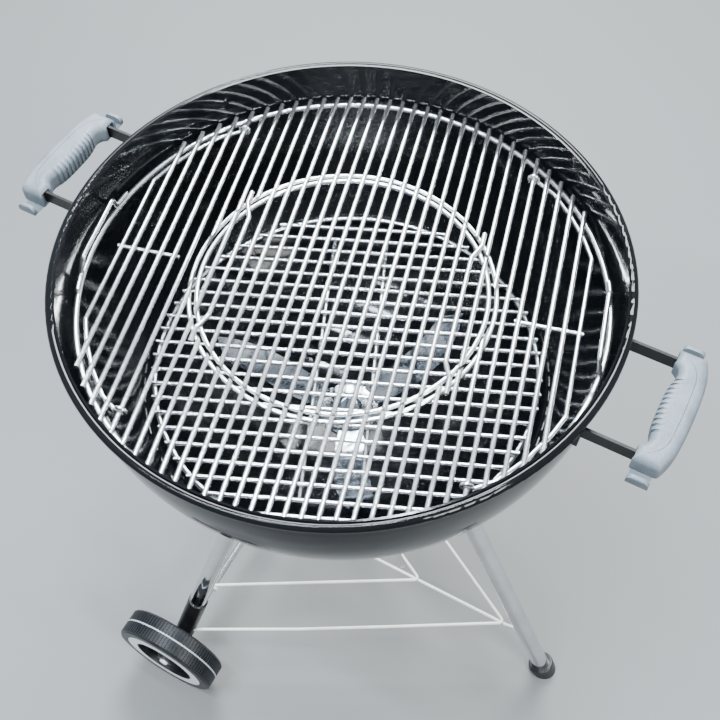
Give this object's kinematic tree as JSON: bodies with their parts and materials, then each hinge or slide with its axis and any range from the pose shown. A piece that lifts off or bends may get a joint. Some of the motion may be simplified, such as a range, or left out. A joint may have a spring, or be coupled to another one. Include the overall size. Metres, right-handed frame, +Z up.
{
  "type": "kettle charcoal grill",
  "caption": "Kettle charcoal grill: black enamel bowl on tube legs with wheels, hinged cooking grate with a lift-out centre insert, charcoal grate, ash sweep and ribbed side handles.",
  "frame": {"origin": "on the bowl's vertical axis at ground level", "axes": "+Z up, +X towards the single front leg and the right handle, wheel axle along Y"},
  "size_m": [0.7248, 0.5858, 0.821],
  "materials": {
    "enamel": "gloss black porcelain enamel",
    "plated_wire": "bright plated wire",
    "coal_wire": "bright steel wire",
    "aluminized": "bright aluminised steel",
    "chrome_tube": "polished tube",
    "black_plastic": "satin black",
    "axle_steel": "bright zinc",
    "white_plastic": "satin white",
    "wheel_plastic": "satin black",
    "pale_wire": "satin off-white coated wire",
    "black_strap": "satin black",
    "grip_plastic": "fine matt blue-grey",
    "pan_aluminium": "satin"
  },
  "bodies": {
    "frame": {"bowl": "enamel", "cooking_grate_brackets": "enamel", "charcoal_grate_brackets": "enamel", "leg_sockets": "chrome_tube", "front_leg": "chrome_tube", "near_wheel_leg": "chrome_tube", "far_wheel_leg": "chrome_tube", "front_leg_cap": "black_plastic", "near_wheel_leg_plug": "black_plastic", "far_wheel_leg_plug": "black_plastic", "axle": "axle_steel", "near_axle_cap": "white_plastic", "far_axle_cap": "white_plastic", "wire_rack": "pale_wire", "left_handle_strap": "black_strap", "right_handle_strap": "black_strap", "left_handle_inner_grip": "grip_plastic", "right_handle_inner_grip": "grip_plastic", "left_handle_outer_grip": "grip_plastic", "right_handle_outer_grip": "grip_plastic", "left_handle_screws": "axle_steel", "right_handle_screws": "axle_steel", "ash_pan_holder": "plated_wire"},
    "main_grate": {"cooking_grate": "plated_wire", "left_grate_grip": "plated_wire", "right_grate_grip": "plated_wire"},
    "left_flap": {"left_flap": "plated_wire"},
    "right_flap": {"right_flap": "plated_wire"},
    "insert": {"centre_insert": "plated_wire"},
    "coal_grate": {"charcoal_grate": "coal_wire"},
    "sweep": {"sweep_blades": "aluminized", "sweep_hub": "aluminized", "vent_lever": "aluminized", "lever_spacer": "aluminized", "lever_nut": "aluminized"},
    "near_wheel": {"near_wheel": "wheel_plastic", "near_wheel_ring": "white_plastic"},
    "far_wheel": {"far_wheel": "wheel_plastic", "far_wheel_ring": "white_plastic"},
    "pan": {"ash_pan": "pan_aluminium"}
  },
  "joints": [
    {"name": "grate_lift", "type": "slide", "parent": "frame", "child": "main_grate", "axis": [0, 0, 1], "range_m": [0, 0.1]},
    {"name": "left_flap_hinge", "type": "hinge", "parent": "main_grate", "child": "left_flap", "pos_m": [-0.16029, -0.04139, 0.7751], "axis": [-0.25, 0.9682, 0], "range_deg": [0, 95]},
    {"name": "right_flap_hinge", "type": "hinge", "parent": "main_grate", "child": "right_flap", "pos_m": [0.16029, 0.04139, 0.7751], "axis": [0.25, -0.9682, 0], "range_deg": [0, 95]},
    {"name": "insert_lift", "type": "slide", "parent": "main_grate", "child": "insert", "axis": [0, 0, 1], "range_m": [0, 0.1]},
    {"name": "coal_grate_lift", "type": "slide", "parent": "frame", "child": "coal_grate", "axis": [0, 0, 1], "range_m": [0, 0.1]},
    {"name": "sweep_turn", "type": "hinge", "parent": "frame", "child": "sweep", "pos_m": [0, 0, 0.505], "axis": [0, 0, -1], "range_deg": [0, 58]},
    {"name": "near_wheel_spin", "type": "hinge", "parent": "frame", "child": "near_wheel", "pos_m": [-0.1715, -0.27, 0.079], "axis": [0, 1, 0], "continuous": true},
    {"name": "far_wheel_spin", "type": "hinge", "parent": "frame", "child": "far_wheel", "pos_m": [-0.1715, 0.27, 0.079], "axis": [0, 1, 0], "continuous": true},
    {"name": "ash_pan_draw", "type": "slide", "parent": "frame", "child": "pan", "axis": [0.4772, -0.8788, 0], "range_m": [0, 0.3]}
  ]
}
